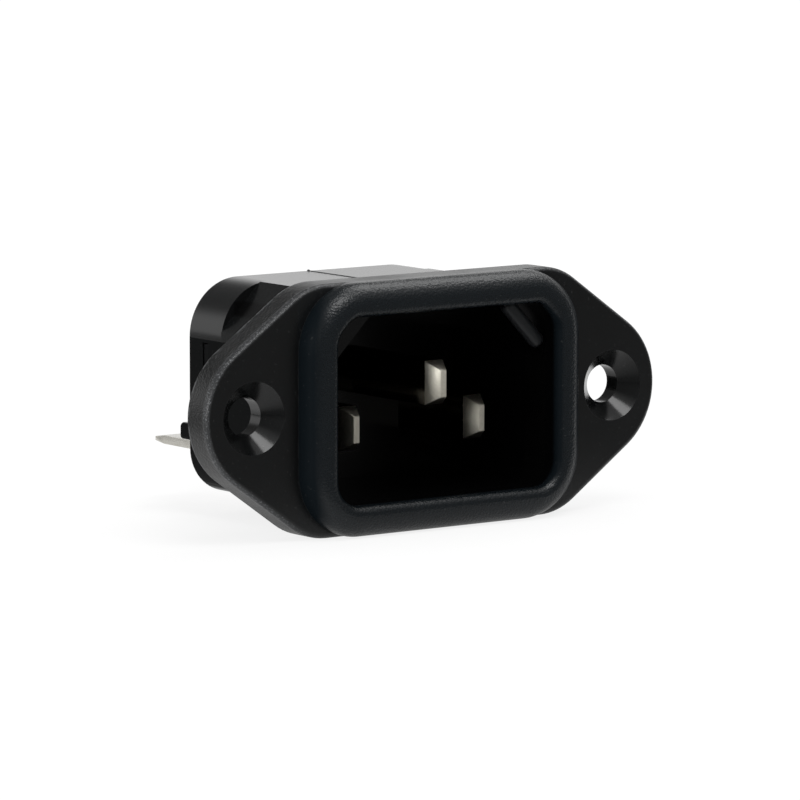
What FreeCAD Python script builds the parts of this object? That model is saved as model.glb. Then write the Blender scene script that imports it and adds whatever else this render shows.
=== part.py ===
"""C14 panel inlet socket, screw-mounted: a parametric FreeCAD model.

Frame: X runs along the flange, -Y points out of the panel towards the mating connector and
+Z is up. The origin lies on the back face of the flange, midway between the two screw holes.

Pieces: one black housing moulding, one snap-in rear cover, three contact blades and the three
quick-connect terminals that are riveted to the blades.
"""
import FreeCAD, Part
import math
import os
import Sketcher

Vector = FreeCAD.Vector

# Two lengths closer than this count as equal, in millimetres
TOLERANCE = 0.001

doc = FreeCAD.newDocument("c14_panel_inlet")

# ----------------------------------------------------------------------------------------------
# Driving dimensions, in millimetres and degrees
# ----------------------------------------------------------------------------------------------

DIMENSIONS = [
    # Flange: a lozenge with two rounded ears
    ("flange_height", 22.7, "overall height"),
    ("flange_thickness", 3.0, "thickness of the ears"),
    ("ear_tip_radius", 7.0, "radius of an ear's tip"),
    ("ear_slope", 35.2, "slope of an ear's straight edges, in degrees"),
    ("shoulder_radius", 6.5, "blend between an ear's edge and the flat top or bottom"),
    ("flange_edge_round", 0.5, "rounding of the flange's front edge"),
    ("screw_spacing", 40.0, "centre distance of the two screw holes"),
    ("ear_overhang", 5.0, "from a screw hole's centre to its ear's tip"),
    ("screw_hole_diameter", 3.5, "clearance hole for an M3 countersunk screw"),
    ("countersink_diameter", 6.5, "diameter of the countersink"),
    ("countersink_angle", 90.0, "full angle of the countersink, in degrees"),
    # Rim round the recess
    ("rim_side_wall", 3.0, "wall of the rim at each side of the recess"),
    ("rim_projection", 2.4, "how far the rim stands in front of the flange"),
    ("rim_corner_radius", 6.0, "outer corner radius of the rim"),
    ("rim_outer_round", 2.05, "rounding of the rim's outer front edge"),
    ("rim_inner_round", 0.85, "rounding of the rim's inner front edge"),
    ("rim_flat", 0.05, "least flat left beside the rounding of the rim's outer edge"),
    # Recess
    ("recess_height", 16.8, "height of the recess"),
    ("recess_depth", 16.4, "depth of the recess from the rim's front"),
    ("mouth_corner", 1.7, "leg of the cut top corners inside the rim"),
    ("mouth_blend", 2.0, "blend at the ends of those corners"),
    ("recess_corner", 5.0, "leg of the cut top corners behind the rim"),
    ("recess_bottom_radius", 2.4, "radius of the two bottom corners"),
    ("recess_blend", 1.2, "blend at the ends of the cut corners"),
    ("floor_thickness", 2.0, "wall that the contact blades pass through"),
    ("mark_diameter", 3.4, "round moulding mark on the recess floor"),
    ("mark_depth", 0.15, "depth of that mark"),
    ("mark_offset", 6.4, "distance of the mark from the middle plane"),
    ("mark_gap", 0.3, "gap between the mark and the recess's bottom"),
    # Body behind the flange
    ("body_side_wall", 1.55, "wall of the body at each side of the recess"),
    ("body_top_wall", 1.8, "wall of the body above the recess"),
    ("body_bottom_wall", 1.0, "wall of the body below the recess"),
    ("neck_corner", 4.3, "leg of the cut top corners of the neck"),
    ("collar_top_radius", 5.2, "radius of the collar's top corners"),
    ("body_bottom_radius", 4.2, "radius of the body's bottom corners"),
    ("body_wall", 1.5, "wall of the collar round the rear cavity"),
    ("body_edge_round", 0.25, "rounding of the body's rear edge"),
    ("lug_height", 1.55, "height of the small lug behind each side wall"),
    ("lug_reach", 1.35, "how far that lug stands behind the body"),
    ("lug_drop", 3.75, "lug's centre below the screw line"),
    ("lug_round", 0.4, "rounding of the lug's corners"),
    ("snap_slot_drop", 0.3, "snap slot's top below the collar's rounded corner"),
    ("snap_slot_height", 4.6, "height of the snap slot in each side wall"),
    ("snap_slot_width", 0.85, "width of that slot along the body"),
    ("snap_slot_gap", 0.1, "from the recess floor's back to the slot"),
    # Contact blades
    ("blade_height", 4.0, "height of a contact blade's section"),
    ("blade_width", 2.0, "width of a contact blade's section"),
    ("blade_spacing", 14.0, "distance between the line and the neutral blade"),
    ("blade_side_room", 5.25, "from those blades' centres to the recess's side walls"),
    ("blade_drop", 2.3, "line and neutral blades below the screw line"),
    ("earth_rise", 4.0, "earth blade above the line and neutral blades"),
    ("blade_tip_setback", 5.0, "line and neutral tips behind the rim's front"),
    ("earth_tip_setback", 1.4, "earth tip behind the rim's front"),
    ("taper_length", 1.5, "length of the pointed end"),
    ("tip_height", 2.4, "height of the flat end face"),
    ("tip_width", 0.62, "width of the flat end face"),
    ("shoulder_margin", 0.5, "how far the blade's shoulder stands out all round"),
    ("shoulder_thickness", 0.8, "thickness of that shoulder"),
    ("rivet_diameter", 1.8, "tenon riveted through the terminal"),
    ("rivet_head_diameter", 3.0, "diameter of the rivet's head"),
    ("rivet_head_height", 0.5, "height of the rivet's head"),
    ("rivet_head_round", 0.35, "rounding of the rivet's head"),
    # Quick-connect terminals
    ("tab_width", 6.3, "width of a quick-connect tab"),
    ("tab_thickness", 0.8, "thickness of the terminal's sheet"),
    ("tab_length", 9.4, "length of tab that stands behind the body"),
    ("tab_shift", 1.0, "line and neutral tabs stand this much outside their blades"),
    ("tab_drop", 3.2, "distance between a blade's centre and its tab"),
    ("tab_foot", 1.9, "terminal plate beyond the blade's centre, away from the tab"),
    ("bend_radius", 0.4, "inner radius of the terminal's bend"),
    ("tab_tip_thickness", 0.4, "thickness of the bevelled end"),
    ("tab_bevel", 1.4, "length of the bevel at the end"),
    ("tab_hole_diameter", 1.8, "latching hole of the tab"),
    ("tab_hole_setback", 4.1, "latching hole's centre before the tab's end"),
    # Rear cover
    ("cover_gap", 0.5, "gap between the rivet heads and the cover's plate"),
    ("cover_thickness", 1.4, "thickness of the rear cover's plate"),
    ("cover_clearance", 0.1, "gap between the cover and the housing"),
    ("snap_arm_thickness", 0.8, "thickness of each side arm of the cover"),
    ("snap_bead_reach", 1.4, "how far a snap bead reaches into its slot"),
    ("snap_clearance", 0.15, "gap round the snap bead in its slot"),
    ("slot_clearance", 0.1, "gap round a tab in the cover's slot"),
]


def make_sheet():
    """Write the driving dimensions into a spreadsheet, one alias for each row."""
    table = doc.addObject("Spreadsheet::Sheet", "Sizes")
    for row, (alias, size, meaning) in enumerate(DIMENSIONS, start=1):
        table.set(f"A{row}", meaning)
        table.set(f"B{row}", str(size))
        table.setAlias(f"B{row}", alias)
    doc.recompute()
    return table


sheet = make_sheet()


def cells(formula):
    """Turn a formula of bracketed aliases into one that names the spreadsheet."""
    return formula.replace("[", "Sizes.").replace("]", "")


def size(formula):
    """Work out a formula of aliases as a number."""
    return float(sheet.evalExpression(cells(formula)))


# Places that several pieces share, as formulas of the driving dimensions
RECESS_HALF = "([blade_spacing] / 2 + [blade_side_room])"
FLANGE_HALF = "([flange_height] / 2)"
RIM_FRONT = "([flange_thickness] + [rim_projection])"
FLOOR_FRONT = f"([recess_depth] - {RIM_FRONT})"
FLOOR_REAR = f"({FLOOR_FRONT} + [floor_thickness])"
TAB_REST = f"({FLOOR_REAR} + [tab_thickness])"
RIVET_REAR = f"({TAB_REST} + [rivet_head_height])"
COVER_FRONT = f"({RIVET_REAR} + [cover_gap])"
BODY_REAR = f"({COVER_FRONT} + [cover_thickness])"
TAB_END = f"({BODY_REAR} + [tab_length])"
BODY_HALF = f"({RECESS_HALF} + [body_side_wall])"
BODY_TOP = "([recess_height] / 2 + [body_top_wall])"
BODY_BOTTOM = "([recess_height] / 2 + [body_bottom_wall])"
CAVITY_HALF = f"({BODY_HALF} - [body_wall])"
SLOT_FRONT = f"({FLOOR_REAR} + [snap_slot_gap])"
SLOT_REAR = f"({SLOT_FRONT} + [snap_slot_width])"
SLOT_TOP = f"({BODY_TOP} - [collar_top_radius] - [snap_slot_drop])"
SLOT_MIDDLE = f"({SLOT_TOP} - [snap_slot_height] / 2)"


class Contact:
    """Where one contact blade and its terminal stand, as formulas."""

    def __init__(self, name, side, x, z, setback):
        self.name = name
        self.x = x
        self.z = z
        self.tip = f"({RIM_FRONT} - {setback})"
        self.tab_side = 1 if side == 0 else -1
        self.tab_x = f"({x} + {side} * [tab_shift])"
        self.tab_z = f"({z} + {self.tab_side} * [tab_drop])"


HALF_SPACING = "([blade_spacing] / 2)"
LINE_Z = "(0 - [blade_drop])"
EARTH_Z = "([earth_rise] - [blade_drop])"
CONTACTS = [
    Contact("line", -1, f"(0 - {HALF_SPACING})", LINE_Z, "[blade_tip_setback]"),
    Contact("neutral", 1, HALF_SPACING, LINE_Z, "[blade_tip_setback]"),
    Contact("earth", 0, "0", EARTH_Z, "[earth_tip_setback]"),
]


# ----------------------------------------------------------------------------------------------
# Sketches
# ----------------------------------------------------------------------------------------------

def make_body(label):
    """Add an empty PartDesign body that carries a node's name."""
    body = doc.addObject("PartDesign::Body", label)
    body.Label = label
    return body


def origin_plane(body, role):
    """Find one of a body's own origin planes."""
    for feature in body.Origin.OriginFeatures:
        if feature.Role == role:
            return feature
    raise ValueError(f"{body.Label} has no {role}")


def make_sketch(body, name, role, shift):
    """Attach a sketch to an origin plane, moved along that plane's normal by a formula."""
    sketch = body.newObject("Sketcher::SketchObject", name)
    sketch.AttachmentSupport = [(origin_plane(body, role), "")]
    sketch.MapMode = "FlatFace"
    sketch.setExpression(".AttachmentOffset.Base.z", cells(shift))
    return sketch


def front_sketch(body, name, depth):
    """Attach a sketch across the socket, at a depth behind the flange's back face."""
    return make_sketch(body, name, "XZ_Plane", f"0 - {depth}")


def fix(sketch, constraint, formula):
    """Add a dimensional constraint and tie it to the spreadsheet."""
    index = sketch.addConstraint(constraint)
    sketch.setExpression(f"Constraints[{index}]", cells(formula))


def fix_point(sketch, geometry, position, x, y):
    """Hold a point of the sketch at two formulas, measured from the sketch's origin."""
    for kind, formula, axis in (("DistanceX", x, -2), ("DistanceY", y, -1)):
        if abs(size(formula)) < TOLERANCE:
            sketch.addConstraint(Sketcher.Constraint("PointOnObject", geometry, position, axis))
        else:
            ends = (-1, 1, geometry, position)
            fix(sketch, Sketcher.Constraint(kind, *ends, size(formula)), formula)


class Corner:
    """A corner of an outline: its place and the radius that rounds it, if any."""

    def __init__(self, x, y, radius=None):
        self.x = x
        self.y = y
        self.radius = radius
        self.point = Vector(size(x), size(y), 0)

    def find_ends(self, before, after):
        """Find where the two straight sides end, and the centre of the rounding."""
        if self.radius is None:
            return self.point, self.point, None
        inward = (before.point - self.point).normalize()
        outward = (after.point - self.point).normalize()
        half_angle = inward.getAngle(outward) / 2
        radius = size(self.radius)
        reach = radius / math.tan(half_angle)
        bisector = (inward + outward).normalize()
        centre = self.point + bisector * (radius / math.sin(half_angle))
        return self.point + inward * reach, self.point + outward * reach, centre


def draw_outline(sketch, corners):
    """Draw a closed outline of straight sides with round corners, fully constrained."""
    count = len(corners)
    ends = [
        corner.find_ends(corners[i - 1], corners[(i + 1) % count])
        for i, corner in enumerate(corners)
    ]
    sides = []
    for i in range(count):
        side = Part.LineSegment(ends[i][1], ends[(i + 1) % count][0])
        sides.append(sketch.addGeometry(side, False))
    for i, corner in enumerate(corners):
        before = sides[i - 1]
        after = sides[i]
        if corner.radius is None:
            sketch.addConstraint(Sketcher.Constraint("Coincident", before, 2, after, 1))
            fix_point(sketch, after, 1, corner.x, corner.y)
            continue
        first, last, centre = ends[i]
        turns_left = (corner.point - first).cross(last - corner.point).z > 0
        if not turns_left:
            first, last = last, first
        angles = [math.atan2(end.y - centre.y, end.x - centre.x) for end in (first, last)]
        if angles[1] < angles[0]:
            angles[1] += 2 * math.pi
        circle = Part.Circle(centre, Vector(0, 0, 1), size(corner.radius))
        arc = sketch.addGeometry(Part.ArcOfCircle(circle, *angles), False)
        vertex = sketch.addGeometry(Part.Point(corner.point), True)
        starts, finishes = (1, 2) if turns_left else (2, 1)
        sketch.addConstraint(Sketcher.Constraint("PointOnObject", vertex, 1, before))
        sketch.addConstraint(Sketcher.Constraint("PointOnObject", vertex, 1, after))
        sketch.addConstraint(Sketcher.Constraint("Tangent", before, 2, arc, starts))
        sketch.addConstraint(Sketcher.Constraint("Tangent", arc, finishes, after, 1))
        fix_point(sketch, vertex, 1, corner.x, corner.y)
        fix(sketch, Sketcher.Constraint("Radius", arc, size(corner.radius)), corner.radius)


def draw_rectangle(sketch, x, y, width, height, radius=None):
    """Draw a rectangle about a centre, all as formulas."""
    left = f"({x} - {width} / 2)"
    right = f"({x} + {width} / 2)"
    low = f"({y} - {height} / 2)"
    high = f"({y} + {height} / 2)"
    places = ((right, low), (right, high), (left, high), (left, low))
    draw_outline(sketch, [Corner(px, py, radius) for px, py in places])


def draw_circle(sketch, x, y, diameter):
    """Draw a circle about a centre, all as formulas."""
    centre = Vector(size(x), size(y), 0)
    circle = Part.Circle(centre, Vector(0, 0, 1), size(diameter) / 2)
    index = sketch.addGeometry(circle, False)
    fix_point(sketch, index, 3, x, y)
    fix(sketch, Sketcher.Constraint("Diameter", index, size(diameter)), diameter)


def draw_cut_box(sketch, half_width, top, bottom, leg, blend, low_radius):
    """Draw a box outline whose two top corners are cut at 45 degrees."""
    draw_outline(sketch, [
        Corner(half_width, f"(0 - {bottom})", low_radius),
        Corner(half_width, f"({top} - {leg})", blend),
        Corner(f"({half_width} - {leg})", top, blend),
        Corner(f"({leg} - {half_width})", top, blend),
        Corner(f"(0 - {half_width})", f"({top} - {leg})", blend),
        Corner(f"(0 - {half_width})", f"(0 - {bottom})", low_radius),
    ])


def draw_round_box(sketch, half_width, top, bottom, high_radius, low_radius):
    """Draw a box outline with round corners."""
    draw_outline(sketch, [
        Corner(half_width, f"(0 - {bottom})", low_radius),
        Corner(half_width, top, high_radius),
        Corner(f"(0 - {half_width})", top, high_radius),
        Corner(f"(0 - {half_width})", f"(0 - {bottom})", low_radius),
    ])


# ----------------------------------------------------------------------------------------------
# Features
# ----------------------------------------------------------------------------------------------

def add_pad(body, sketch, length, backwards=False):
    """Pad a sketch along its normal, or against it."""
    pad = body.newObject("PartDesign::Pad", f"{sketch.Name}_pad")
    pad.Profile = sketch
    pad.Reversed = backwards
    pad.setExpression("Length", cells(length))
    doc.recompute()
    return pad


def cut_pocket(body, sketch, length=None):
    """Pocket a sketch against its normal, by a length or right through."""
    before = body.Shape.Volume
    pocket = body.newObject("PartDesign::Pocket", f"{sketch.Name}_cut")
    pocket.Profile = sketch
    if length is None:
        pocket.Type = "ThroughAll"
    else:
        pocket.setExpression("Length", cells(length))
    doc.recompute()
    if body.Shape.Volume >= before:
        raise RuntimeError(f"{pocket.Name} removes nothing")
    return pocket


def round_edges(body, name, radius, chosen):
    """Fillet the edges that a test picks out of a body's present shape."""
    doc.recompute()
    base = body.Tip
    names = [
        f"Edge{number}"
        for number, edge in enumerate(base.Shape.Edges, start=1)
        if chosen(edge)
    ]
    if not names:
        raise RuntimeError(f"{name} finds no edge")
    fillet = body.newObject("PartDesign::Fillet", name)
    fillet.Base = (base, names)
    fillet.setExpression("Radius", cells(radius))
    doc.recompute()
    return fillet


def lies_at(edge, y):
    """Tell whether a whole edge lies at one depth."""
    box = edge.BoundBox
    return abs(box.YMin - y) < TOLERANCE and abs(box.YMax - y) < TOLERANCE


def lies_inside(edge, half_width, half_height):
    """Tell whether a whole edge lies within a rectangle about the screw line's middle."""
    box = edge.BoundBox
    across = max(-box.XMin, box.XMax) < half_width + TOLERANCE
    upright = max(-box.ZMin, box.ZMax) < half_height + TOLERANCE
    return across and upright


# ----------------------------------------------------------------------------------------------
# Housing: flange, rim, neck and collar, moulded as one
# ----------------------------------------------------------------------------------------------

def pad_flange(body):
    """Pad the lozenge flange and round its front edge."""
    tip_centre = "([screw_spacing] / 2 + [ear_overhang] - [ear_tip_radius])"
    point_x = f"({tip_centre} + [ear_tip_radius] / sin([ear_slope] * 1deg))"
    shoulder_x = f"({point_x} - {FLANGE_HALF} / tan([ear_slope] * 1deg))"
    outline = front_sketch(body, "flange_outline", "0")
    draw_outline(outline, [
        Corner(shoulder_x, f"(0 - {FLANGE_HALF})", "[shoulder_radius]"),
        Corner(point_x, "0", "[ear_tip_radius]"),
        Corner(shoulder_x, FLANGE_HALF, "[shoulder_radius]"),
        Corner(f"(0 - {shoulder_x})", FLANGE_HALF, "[shoulder_radius]"),
        Corner(f"(0 - {point_x})", "0", "[ear_tip_radius]"),
        Corner(f"(0 - {shoulder_x})", f"(0 - {FLANGE_HALF})", "[shoulder_radius]"),
    ])
    add_pad(body, outline, "[flange_thickness]")
    front = -size("[flange_thickness]")
    round_edges(body, "flange_edge", "[flange_edge_round]", lambda edge: lies_at(edge, front))


def pad_rim(body):
    """Pad the raised rim from inside the flange and round its outer edge."""
    outline = front_sketch(body, "rim_outline", "0")
    half = f"({RECESS_HALF} + [rim_side_wall])"
    corner = "[rim_corner_radius]"
    draw_round_box(outline, half, FLANGE_HALF, FLANGE_HALF, corner, corner)
    add_pad(body, outline, RIM_FRONT)
    top_wall = f"({FLANGE_HALF} - [recess_height] / 2)"
    room = f"min([rim_side_wall]; {top_wall}) - [rim_inner_round]"
    rounding = f"min([rim_outer_round]; {room} - [rim_flat]; [rim_projection] - [rim_flat])"
    front = -size(RIM_FRONT)
    round_edges(body, "rim_outer_edge", rounding, lambda edge: lies_at(edge, front))


def pad_rear(body):
    """Pad the neck with its cut corners, the round-cornered collar and the two rear lugs."""
    neck = front_sketch(body, "neck_outline", "0")
    draw_cut_box(neck, BODY_HALF, BODY_TOP, BODY_BOTTOM, "[neck_corner]", None,
                 "[body_bottom_radius]")
    add_pad(body, neck, FLOOR_FRONT, backwards=True)
    collar = front_sketch(body, "collar_outline", FLOOR_FRONT)
    draw_round_box(collar, BODY_HALF, BODY_TOP, BODY_BOTTOM, "[collar_top_radius]",
                   "[body_bottom_radius]")
    add_pad(body, collar, f"({BODY_REAR} - {FLOOR_FRONT})", backwards=True)
    rear = size(BODY_REAR)
    round_edges(body, "rear_edge", "[body_edge_round]", lambda edge: lies_at(edge, rear))
    lugs = front_sketch(body, "rear_lugs", COVER_FRONT)
    for sign in ("1", "-1"):
        centre = f"({sign} * ({BODY_HALF} - [body_wall] / 2))"
        draw_rectangle(lugs, centre, "(0 - [lug_drop])", "[body_wall]", "[lug_height]",
                       "[lug_round]")
    add_pad(body, lugs, "([cover_thickness] + [lug_reach])", backwards=True)


def cut_recess(body):
    """Cut the mouth inside the rim, then the recess with its larger cut corners."""
    rise = "([recess_height] / 2)"
    mouth = front_sketch(body, "mouth_outline", f"(0 - {RIM_FRONT})")
    draw_cut_box(mouth, RECESS_HALF, rise, rise, "[mouth_corner]", "[mouth_blend]",
                 "[recess_bottom_radius]")
    cut_pocket(body, mouth, "[rim_projection]")
    front = -size(RIM_FRONT)
    round_edges(body, "rim_inner_edge", "[rim_inner_round]",
                lambda edge: lies_at(edge, front)
                and lies_inside(edge, size(RECESS_HALF), size(rise)))
    recess = front_sketch(body, "recess_outline", f"(0 - {RIM_FRONT})")
    draw_cut_box(recess, RECESS_HALF, rise, rise, "[recess_corner]", "[recess_blend]",
                 "[recess_bottom_radius]")
    cut_pocket(body, recess, "[recess_depth]")


def cut_floor(body):
    """Cut the blades' slots and shoulder seats, the rear cavity and the moulding marks."""
    cavity = front_sketch(body, "cavity_outline", FLOOR_REAR)
    draw_round_box(cavity, CAVITY_HALF, f"({BODY_TOP} - [body_wall])",
                   f"({BODY_BOTTOM} - [body_wall])", "([collar_top_radius] - [body_wall])",
                   "([body_bottom_radius] - [body_wall])")
    cut_pocket(body, cavity)
    slots = front_sketch(body, "blade_slots", FLOOR_FRONT)
    seats = front_sketch(body, "shoulder_seats", f"({FLOOR_REAR} - [shoulder_thickness])")
    margin = "2 * [shoulder_margin]"
    for contact in CONTACTS:
        draw_rectangle(slots, contact.x, contact.z, "[blade_width]", "[blade_height]")
        draw_rectangle(seats, contact.x, contact.z, f"([blade_width] + {margin})",
                       f"([blade_height] + {margin})")
    cut_pocket(body, slots, "[floor_thickness]")
    cut_pocket(body, seats, "[shoulder_thickness]")
    marks = front_sketch(body, "moulding_marks", FLOOR_FRONT)
    mark_z = "([mark_diameter] / 2 + [mark_gap] - [recess_height] / 2)"
    for mark_x in ("[mark_offset]", "(0 - [mark_offset])"):
        draw_circle(marks, mark_x, mark_z, "[mark_diameter]")
    cut_pocket(body, marks, "[mark_depth]")


def cut_screw_holes(body):
    """Cut the two countersunk screw holes through the ears."""
    centres = front_sketch(body, "screw_centres", "(0 - [flange_thickness])")
    for hole_x in ("([screw_spacing] / 2)", "(0 - [screw_spacing] / 2)"):
        draw_circle(centres, hole_x, "0", "[screw_hole_diameter]")
    before = body.Shape.Volume
    doc.recompute()
    hole = body.newObject("PartDesign::Hole", "screw_holes")
    hole.Profile = centres
    doc.recompute()
    hole.ThreadType = "None"
    hole.DepthType = "ThroughAll"
    hole.HoleCutType = "Countersink"
    hole.HoleCutCustomValues = True
    hole.setExpression("Diameter", cells("[screw_hole_diameter]"))
    hole.setExpression("HoleCutDiameter", cells("[countersink_diameter]"))
    hole.setExpression("HoleCutCountersinkAngle", cells("[countersink_angle]"))
    doc.recompute()
    if body.Shape.Volume >= before:
        raise RuntimeError("the screw holes remove nothing")


def cut_snap_slots(body):
    """Cut the slot for the cover's snap bead through each side wall."""
    slots = make_sketch(body, "snap_slots", "YZ_Plane", f"({BODY_HALF} + [body_wall])")
    centre = f"(({SLOT_FRONT} + {SLOT_REAR}) / 2)"
    draw_rectangle(slots, centre, SLOT_MIDDLE, "[snap_slot_width]", "[snap_slot_height]")
    cut_pocket(body, slots)


def build_housing():
    """Build the black moulding that carries everything else."""
    body = make_body("housing")
    pad_flange(body)
    pad_rim(body)
    pad_rear(body)
    cut_recess(body)
    cut_floor(body)
    cut_screw_holes(body)
    cut_snap_slots(body)
    return body


# ----------------------------------------------------------------------------------------------
# Rear cover: a plate with two snap arms and a slot for each tab
# ----------------------------------------------------------------------------------------------

def pad_cover_plate(body):
    """Pad the plate that closes the rear cavity."""
    inset = "([body_wall] + [cover_clearance])"
    plate = front_sketch(body, "plate_outline", COVER_FRONT)
    draw_round_box(plate, f"({BODY_HALF} - {inset})", f"({BODY_TOP} - {inset})",
                   f"({BODY_BOTTOM} - {inset})", f"([collar_top_radius] - {inset})",
                   f"([body_bottom_radius] - {inset})")
    add_pad(body, plate, "[cover_thickness]", backwards=True)


def pad_snap_arms(body):
    """Pad the side arms and the beads that reach into the housing's slots."""
    outside = f"({CAVITY_HALF} - [cover_clearance])"
    height = "([snap_slot_height] - 2 * [snap_clearance])"
    arms = front_sketch(body, "snap_arms", COVER_FRONT)
    beads = front_sketch(body, "snap_beads", f"({SLOT_REAR} - [snap_clearance])")
    bead_reach = f"({CAVITY_HALF} + [snap_bead_reach])"
    for sign in ("1", "-1"):
        centre = f"({sign} * ({outside} - [snap_arm_thickness] / 2))"
        draw_rectangle(arms, centre, SLOT_MIDDLE, "[snap_arm_thickness]", height)
        inside = f"({outside} - [snap_arm_thickness])"
        bead_centre = f"({sign} * ({inside} + {bead_reach}) / 2)"
        draw_rectangle(beads, bead_centre, SLOT_MIDDLE, f"({bead_reach} - {inside})", height)
    add_pad(body, arms, f"({COVER_FRONT} - {SLOT_FRONT} - [snap_clearance])")
    add_pad(body, beads, "([snap_slot_width] - 2 * [snap_clearance])")


def cut_tab_slots(body):
    """Cut the slot that each tab passes through."""
    slots = front_sketch(body, "tab_slots", COVER_FRONT)
    for contact in CONTACTS:
        draw_rectangle(slots, contact.tab_x, contact.tab_z,
                       "([tab_width] + 2 * [slot_clearance])",
                       "([tab_thickness] + 2 * [slot_clearance])")
    cut_pocket(body, slots, "[cover_thickness]")


def build_rear_cover():
    """Build the cover that closes the back."""
    body = make_body("rear_cover")
    pad_cover_plate(body)
    pad_snap_arms(body)
    cut_tab_slots(body)
    return body


# ----------------------------------------------------------------------------------------------
# Contact blades and their riveted terminals
# ----------------------------------------------------------------------------------------------

def build_blade(contact):
    """Build one solid blade: point, shank, shoulder, tenon and rivet head."""
    body = make_body(f"{contact.name}_blade")
    taper_end = f"([taper_length] - {contact.tip})"
    shank = front_sketch(body, f"{contact.name}_shank", FLOOR_REAR)
    draw_rectangle(shank, contact.x, contact.z, "[blade_width]", "[blade_height]")
    add_pad(body, shank, f"({FLOOR_REAR} - {taper_end})")
    point_base = front_sketch(body, f"{contact.name}_point_base", taper_end)
    draw_rectangle(point_base, contact.x, contact.z, "[blade_width]", "[blade_height]")
    point_end = front_sketch(body, f"{contact.name}_point_end", f"(0 - {contact.tip})")
    draw_rectangle(point_end, contact.x, contact.z, "[tip_width]", "[tip_height]")
    doc.recompute()
    point = body.newObject("PartDesign::AdditiveLoft", f"{contact.name}_point")
    point.Profile = point_base
    point.Sections = [point_end]
    point.Ruled = True
    doc.recompute()
    shoulder = front_sketch(body, f"{contact.name}_shoulder", FLOOR_REAR)
    draw_rectangle(shoulder, contact.x, contact.z, "([blade_width] + 2 * [shoulder_margin])",
                   "([blade_height] + 2 * [shoulder_margin])")
    add_pad(body, shoulder, "[shoulder_thickness]")
    tenon = front_sketch(body, f"{contact.name}_tenon", FLOOR_REAR)
    draw_circle(tenon, contact.x, contact.z, "[rivet_diameter]")
    add_pad(body, tenon, "[tab_thickness]", backwards=True)
    head = front_sketch(body, f"{contact.name}_head", TAB_REST)
    draw_circle(head, contact.x, contact.z, "[rivet_head_diameter]")
    add_pad(body, head, "[rivet_head_height]", backwards=True)
    rear = size(RIVET_REAR)
    round_edges(body, f"{contact.name}_head_edge", "[rivet_head_round]",
                lambda edge: lies_at(edge, rear))
    return body


def build_terminal(contact):
    """Build one terminal: a plate riveted to the blade, bent back into the tab."""
    body = make_body(f"{contact.name}_terminal")
    half = f"({contact.tab_side} * [tab_thickness] / 2)"
    half_tip = f"({contact.tab_side} * [tab_tip_thickness] / 2)"
    outer = f"({contact.tab_z} + {half})"
    inner = f"({contact.tab_z} - {half})"
    foot = f"({contact.z} - {contact.tab_side} * [tab_foot])"
    bevel_start = f"({TAB_END} - [tab_bevel])"
    profile = make_sketch(body, f"{contact.name}_profile", "YZ_Plane",
                          f"({contact.tab_x} - [tab_width] / 2)")
    draw_outline(profile, [
        Corner(FLOOR_REAR, foot),
        Corner(FLOOR_REAR, outer, "([bend_radius] + [tab_thickness])"),
        Corner(bevel_start, outer),
        Corner(TAB_END, f"({contact.tab_z} + {half_tip})"),
        Corner(TAB_END, f"({contact.tab_z} - {half_tip})"),
        Corner(bevel_start, inner),
        Corner(TAB_REST, inner, "[bend_radius]"),
        Corner(TAB_REST, foot),
    ])
    add_pad(body, profile, "[tab_width]")
    rivet_hole = front_sketch(body, f"{contact.name}_rivet_hole", FLOOR_REAR)
    draw_circle(rivet_hole, contact.x, contact.z, "[rivet_diameter]")
    cut_pocket(body, rivet_hole, "[tab_thickness]")
    latch_hole = make_sketch(body, f"{contact.name}_latch_hole", "XY_Plane",
                             f"({contact.tab_z} + [tab_thickness] / 2)")
    draw_circle(latch_hole, contact.tab_x, f"({TAB_END} - [tab_hole_setback])",
                "[tab_hole_diameter]")
    cut_pocket(body, latch_hole, "[tab_thickness]")
    return body


# ----------------------------------------------------------------------------------------------
# Build, check and write
# ----------------------------------------------------------------------------------------------

def check_document(bodies):
    """Stop if any object failed or any piece is not one sound solid."""
    for item in doc.Objects:
        if "Invalid" in item.State or "Error" in item.State:
            raise RuntimeError(f"{item.Label} is {item.State}")
    for body in bodies:
        shape = body.Shape
        if shape.isNull() or not shape.isValid() or len(shape.Solids) != 1:
            raise RuntimeError(f"{body.Label} is not one valid solid")
        print(f"{body.Label}: {shape.Volume:.1f} mm3, {shape.BoundBox}")


def main():
    """Build every piece and write one STEP file for each."""
    bodies = [build_housing(), build_rear_cover()]
    for contact in CONTACTS:
        bodies.append(build_blade(contact))
        bodies.append(build_terminal(contact))
    doc.recompute()
    check_document(bodies)
    os.makedirs("parts", exist_ok=True)
    for body in bodies:
        body.Shape.exportStep(f"parts/{body.Label}.step")


main()
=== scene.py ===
"""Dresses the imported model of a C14 panel inlet socket for its render.

Everything is in metres, in the model's own frame: X runs along the flange, -Y points out of the
panel towards the mating connector and +Z is up. The origin lies on the back face of the flange,
midway between the two screw holes.
"""
import logging
import math
from dataclasses import dataclass
from enum import Enum
from functools import cached_property, partial, reduce
from typing import Callable, Dict, Optional, Sequence, Tuple, Union

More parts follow.
